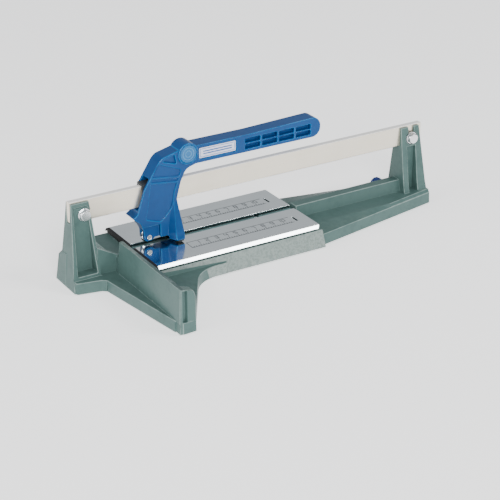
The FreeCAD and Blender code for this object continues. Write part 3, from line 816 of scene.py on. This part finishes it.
@dataclass
class SprungPlate(CadPiece):
    """One chromed plate with a strip of painted shade at its left end.

    Args:
        edge: Width of the painted shade strip in millimetres.
    """

    edge: float = 3.2
    bevel: float = 0.35
    segments: int = 3

    def dress(self, place: Frame, palette: Palette) -> bpy.types.Object:
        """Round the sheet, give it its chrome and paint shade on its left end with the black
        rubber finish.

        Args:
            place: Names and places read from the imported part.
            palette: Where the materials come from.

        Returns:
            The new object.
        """
        mesh = self.build()
        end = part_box(self.node)[0][0] + self.edge * MM
        whole = mesh.verts[:] + mesh.edges[:] + mesh.faces[:]
        bmesh.ops.bisect_plane(mesh, geom=whole, plane_co=(end, 0, 0), plane_no=(1, 0, 0),
                               clear_inner=False, clear_outer=False)
        # faces left of the cut take the black rubber finish as painted shade of the plate's
        # shadowed end
        for face in mesh.faces:
            face.material_index = 1 if face.calc_center_median().x < end else 0
        paints = [palette.get(CHROME), palette.get(RUBBER)]
        piece = finish_mesh(self.node + "_look", mesh, paints)
        place.join(piece, self.node)
        return piece


class Stroke(Enum):
    """The seven strokes of a plain numeral: middle across, middle up, length across, length up."""

    TOP = (0.5, 1.0, 1.0, 0.0)
    MIDDLE = (0.5, 0.5, 1.0, 0.0)
    BOTTOM = (0.5, 0.0, 1.0, 0.0)
    LEFT_HIGH = (0.0, 0.75, 0.0, 0.5)
    LEFT_LOW = (0.0, 0.25, 0.0, 0.5)
    RIGHT_HIGH = (1.0, 0.75, 0.0, 0.5)
    RIGHT_LOW = (1.0, 0.25, 0.0, 0.5)


NOT_IN_NUMERAL = {
    "0": {Stroke.MIDDLE},
    "1": {Stroke.TOP, Stroke.MIDDLE, Stroke.BOTTOM, Stroke.LEFT_HIGH, Stroke.LEFT_LOW},
    "2": {Stroke.LEFT_HIGH, Stroke.RIGHT_LOW},
    "3": {Stroke.LEFT_HIGH, Stroke.LEFT_LOW},
    "4": {Stroke.TOP, Stroke.BOTTOM, Stroke.LEFT_LOW},
    "5": {Stroke.LEFT_LOW, Stroke.RIGHT_HIGH},
    "6": {Stroke.RIGHT_HIGH},
    "7": {Stroke.MIDDLE, Stroke.BOTTOM, Stroke.LEFT_HIGH, Stroke.LEFT_LOW},
    "8": set(),
    "9": {Stroke.LEFT_LOW},
}


@dataclass
class ScaleMarks:
    """The stamped row on a plate: a thin outline, graduation marks and plain numerals.

    Args:
        node: The plate that carries the marks.
        margin: Distance from the plate's inner edge to the outline, in millimetres.
        depth: Width of the outline in millimetres.
        start: Distance from the plate's left end to the outline, in millimetres.
        stop: Distance from the plate's right end to the outline, in millimetres.
        line: Width of a stroke in millimetres.
        proud: Height of a stroke above the plate, in millimetres.
        step: Distance between marks in millimetres.
        numbered: Every how many marks one is long and has a number.
        marks: Length of a long and of a short mark in millimetres.
        numeral: Width and height of a numeral in millimetres.
        pitch: Distance between two numerals, as a share of their width.
        lift: Height of the numerals' foot above the outline, in millimetres.
    """

    node: str
    margin: float = 15.0
    depth: float = 12.0
    start: float = 48.0
    stop: float = 17.0
    line: float = 0.6
    proud: float = 0.03
    step: float = 2.5
    numbered: int = 4
    marks: Tuple[float, float] = (4.0, 2.2)
    numeral: Tuple[float, float] = (2.8, 4.6)
    pitch: float = 1.6
    lift: float = 5.8

    def stroke(self, mesh: bmesh.types.BMesh, middle: Tuple[float, float],
               size: Tuple[float, float]) -> None:
        """Add one flat stroke.

        Args:
            mesh: The geometry to add to.
            middle: X and Y of the stroke's middle in metres.
            size: Its length along X and Y in metres.
        """
        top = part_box(self.node)[1][2]
        height = 4.0 * self.proud * MM
        place = Matrix.Translation((*middle, top + self.proud * MM - height / 2))
        shape = Matrix.Diagonal((*size, height, 1.0))
        bmesh.ops.create_cube(mesh, size=1.0, matrix=place @ shape)

    def numerals(self, mesh: bmesh.types.BMesh, text: str, x: float, y: float) -> None:
        """Add a number.

        Args:
            mesh: The geometry to add to.
            text: The digits.
            x: Where the middle of the number is, in metres.
            y: Where its foot is, in metres.
        """
        wide, high = (length * MM for length in self.numeral)
        pitch = wide * self.pitch
        left = x - (pitch * (len(text) - 1) + wide) / 2
        line = self.line * MM
        for i, digit in enumerate(text):
            for stroke in Stroke:
                if stroke in NOT_IN_NUMERAL[digit]:
                    continue
                across, up, length, rise = stroke.value
                middle = (left + i * pitch + across * wide, y + up * high)
                self.stroke(mesh, middle, (length * wide + line, rise * high + line))

    def build(self) -> bmesh.types.BMesh:
        """Lay out the outline, the marks and the numerals from the plate's own box.

        Returns:
            The geometry.
        """
        low, high = (Vector(corner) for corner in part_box(self.node))
        near = self.node.startswith("front")
        foot = high.y - (self.margin + self.depth) * MM if near else low.y + self.margin * MM
        left = low.x + self.start * MM
        right = high.x - self.stop * MM
        line = self.line * MM
        tall = self.depth * MM
        mesh = bmesh.new()
        for y in (foot, foot + tall):
            self.stroke(mesh, ((left + right) / 2, y), (right - left, line))
        self.stroke(mesh, (left, foot + tall / 2), (line, tall))
        count = int((right - left) / (self.step * MM))
        long_mark, short_mark = self.marks
        for i in range(1, count):
            x = left + i * self.step * MM
            has_number = i % self.numbered == 0
            reach = (long_mark if has_number else short_mark) * MM
            self.stroke(mesh, (x, foot + reach / 2), (line, reach))
            if has_number:
                self.numerals(mesh, str(i // self.numbered), x, foot + self.lift * MM)
        return mesh

    def dress(self, place: Frame, palette: Palette) -> bpy.types.Object:
        """Make the marks ride with their plate.

        Args:
            place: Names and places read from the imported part.
            palette: Where the materials come from.

        Returns:
            The new object.
        """
        # the marks' dark colour is painted shade of the stamped grooves
        piece = finish_mesh(self.node + "_marks", self.build(), [palette.get(STAMPED)])
        place.join(piece, self.node, stands_in=False)
        return piece


@dataclass
class PlateSprings(CadPiece):
    """The coil springs under one plate.

    Args:
        side: The plate's side, front or rear; not used.
        travel: How far the plate goes down, in millimetres; not used.
    """

    side: str = "front"
    travel: float = 1.2
    bevel: float = 0.0

    def dress(self, place: Frame, palette: Palette) -> bpy.types.Object:
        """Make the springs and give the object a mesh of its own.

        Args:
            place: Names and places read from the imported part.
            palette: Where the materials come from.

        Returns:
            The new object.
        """
        piece = super().dress(place, palette)
        low, high = (Vector(corner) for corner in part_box(self.node))
        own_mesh(piece)
        return piece


@dataclass
class RailBar(CadPiece):
    """The flat bar, with a painted highlight on its top and painted shade on its underside.

    Args:
        level: Part of a face's normal, up or down, that makes it top or underside.
    """

    node: str = "rail_bar"
    bevel: float = 0.12
    segments: int = 1
    level: float = 0.4

    def dress(self, place: Frame, palette: Palette) -> bpy.types.Object:
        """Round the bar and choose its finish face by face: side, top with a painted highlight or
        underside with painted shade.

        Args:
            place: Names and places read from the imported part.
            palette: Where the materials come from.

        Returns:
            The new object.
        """
        mesh = self.build()
        mesh.normal_update()
        # faces facing up get the painted highlight, faces facing down the painted shade
        for face in mesh.faces:
            rise = face.normal.z
            face.material_index = 1 if rise > self.level else (2 if rise < -self.level else 0)
        paints = [palette.get(finish) for finish in (RAIL, RAIL_TOP_HIGHLIGHT, RAIL_UNDER_SHADE)]
        piece = finish_mesh(self.node + "_look", mesh, paints)
        place.join(piece, self.node)
        return piece


@dataclass
class BadgeRings:
    """Plain raised rings on the blank round badge.

    Args:
        radii: Middle radius of each ring in millimetres.
        thick: Half thickness of a ring in millimetres.
        sides: Sides of a ring's section.
        steps: Segments round each ring.
    """

    radii: Tuple[float, ...] = (3.0, 5.6)
    thick: float = 0.3
    sides: int = 8
    steps: int = 48

    def build(self) -> bmesh.types.BMesh:
        """Spin a small section round the badge's axis for each ring.

        Returns:
            The geometry.
        """
        low, high = (Vector(corner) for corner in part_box("badge_disc"))
        centre = (low + high) / 2
        mesh = bmesh.new()
        for radius in self.radii:
            made = bmesh.ops.create_circle(mesh, cap_ends=False, radius=self.thick * MM,
                                           segments=self.sides)
            corners = made["verts"]
            start = Vector((centre.x + radius * MM, low.y + self.thick * MM, centre.z))
            bmesh.ops.translate(mesh, verts=corners, vec=start)
            edges = list({edge for corner in corners for edge in corner.link_edges})
            bmesh.ops.spin(mesh, geom=edges + corners, cent=Vector((centre.x, low.y, centre.z)),
                           axis=(0, 1, 0), angle=math.tau, steps=self.steps, use_merge=True)
        return mesh

    def dress(self, place: Frame, palette: Palette) -> bpy.types.Object:
        """Make the rings ride with the badge.

        Args:
            place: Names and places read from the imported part.
            palette: Where the materials come from.

        Returns:
            The new object.
        """
        piece = finish_mesh("badge_rings", self.build(), [palette.get(BADGE_RING)])
        place.join(piece, "badge_disc", stands_in=False)
        return piece


# Rounding width in millimetres and segments, for the pieces that differ from the rest
ROUNDING = {
    "handle_casting": (0.6, 3), "knob": (0.3, 2), "rubber_feet": (0.3, 2), "rail_bolts": (0.3, 2),
    "rail_nuts": (0.3, 2), "label_plate": (0.1, 1), "badge_disc": (0.12, 2),
    "scoring_wheel": (0.0, 1),
}
PLAIN_ROUNDING = (0.15, 2)
OWN_CLASS = {"base_casting", "rail_bar", "front_plate", "rear_plate", "front_plate_springs",
             "rear_plate_springs"}


def plate_pieces() -> List["CadPiece | ScaleMarks"]:
    """List both plates with their marks and springs."""
    pieces = []
    for side in ("front", "rear"):
        pieces.append(SprungPlate(side + "_plate"))
        pieces.append(ScaleMarks(side + "_plate"))
        pieces.append(PlateSprings(side + "_plate_springs", side=side))
    return pieces


def plain_pieces() -> List[CadPiece]:
    """List every piece that needs only rounded edges and a finish."""
    pieces = []
    for node in sorted(set(frame["nodes"]) - OWN_CLASS):
        width, segments = ROUNDING.get(node, PLAIN_ROUNDING)
        # the handle's outer edges get the lighter blue: edge wear plus a painted highlight
        edge = BLUE_EDGE_WEAR_HIGHLIGHT if node == "handle_casting" else None
        pieces.append(CadPiece(node, width, segments, wear_and_highlight_edge=edge))
    return pieces


# Setting

@dataclass(frozen=True)
class Lamp:
    """One soft square light aimed at the tool.

    Args:
        name: The light's name.
        place: Its position in metres.
        size: Its side in metres.
        power: Its power in watts.
    """

    name: str
    place: Point
    size: float
    power: float

    def hang(self, target: Vector) -> None:
        """Add the light to the scene.

        Args:
            target: The point it is aimed at, in metres.
        """
        data = bpy.data.lights.new(self.name, "AREA")
        data.size = self.size
        data.energy = self.power
        lamp = bpy.data.objects.new(self.name, data)
        lamp.location = self.place
        aim = target - Vector(self.place)
        lamp.rotation_euler = aim.to_track_quat("-Z", "Y").to_euler()
        bpy.context.scene.collection.objects.link(lamp)


LAMPS = (Lamp("key", (-0.7, -1.8, 1.0), 0.8, 32.0), Lamp("left", (-1.7, -0.1, 0.8), 0.8, 9.0),
         Lamp("right", (1.1, -1.15, 1.75), 0.7, 16.0))
PAPER = Finish(
    "floor_paper", Look.SOFT, (0.92, 0.92, 0.92), (0.90, 0.90, 0.90),
    roughness=0.8, spread=0.05, grain=200.0, relief=0.01)


@dataclass(frozen=True)
class Studio:
    """Plain pale floor, soft lights and the camera.

    Args:
        eye: Camera position in metres.
        azimuth: Direction the camera faces, in degrees from +Y towards +X.
        elevation: How far the camera looks down, in degrees.
        lens: Focal length in millimetres.
        sensor: Sensor width in millimetres.
        aim_height: Height of the point that the lights are aimed at, in metres.
        floor_size: Half the side of the floor in metres.
        glow: How strongly the floor shines by itself, as a lit table does.
        sky: Colour of the surroundings.
        sky_strength: How strongly the surroundings shine.
    """

    eye: Point = (-0.7169, -1.1364, 0.6453)
    azimuth: float = 31.24
    elevation: float = 25.47
    lens: float = 114.8
    sensor: float = 36.0
    aim_height: float = 0.04
    floor_size: float = 6.0
    glow: float = 0.95
    sky: Colour = (0.95, 0.97, 1.0)
    sky_strength: float = 0.56

    def floor(self, palette: Palette) -> None:
        """Add the floor.

        Args:
            palette: Where the material comes from.
        """
        mesh = bmesh.new()
        bmesh.ops.create_grid(mesh, x_segments=1, y_segments=1, size=self.floor_size)
        paper = palette.get(PAPER)
        shader = next(node for node in paper.node_tree.nodes if node.type == "BSDF_PRINCIPLED")
        shader.inputs["Emission Color"].default_value = (1.0, 1.0, 1.0, 1.0)
        shader.inputs["Emission Strength"].default_value = self.glow
        piece = finish_mesh("floor", mesh, [paper])

    def lights(self) -> None:
        """Add the soft lights and a pale surrounding."""
        world = bpy.data.worlds.new("studio")
        world.use_nodes = True
        back = world.node_tree.nodes["Background"]
        back.inputs["Color"].default_value = (*self.sky, 1.0)
        back.inputs["Strength"].default_value = self.sky_strength
        bpy.context.scene.world = world
        for lamp in LAMPS:
            lamp.hang(Vector((0.0, 0.0, self.aim_height)))

    def camera(self) -> None:
        """Add the camera."""
        data = bpy.data.cameras.new("camera")
        data.lens = self.lens
        data.sensor_width = self.sensor
        camera = bpy.data.objects.new("camera", data)
        camera.location = self.eye
        turn = math.radians(self.azimuth)
        dip = math.radians(self.elevation)
        level = math.cos(dip)
        way = Vector((math.sin(turn) * level, math.cos(turn) * level, -math.sin(dip)))
        camera.rotation_euler = way.to_track_quat("-Z", "Y").to_euler()
        bpy.context.scene.collection.objects.link(camera)
        bpy.context.scene.camera = camera


def main() -> None:
    """Build every piece, then the setting."""
    logging.basicConfig(level=logging.INFO)
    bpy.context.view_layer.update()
    place = Frame(frame["record"])
    palette = Palette()
    for piece in [BaseCasting(), *plate_pieces(), RailBar(), *plain_pieces(), BadgeRings()]:
        made = piece.dress(place, palette)
        LOG.info("%s: %d faces", made.name, len(made.data.polygons))
    studio = Studio()
    studio.floor(palette)
    studio.lights()
    studio.camera()


if __name__ == "__main__":
    main()
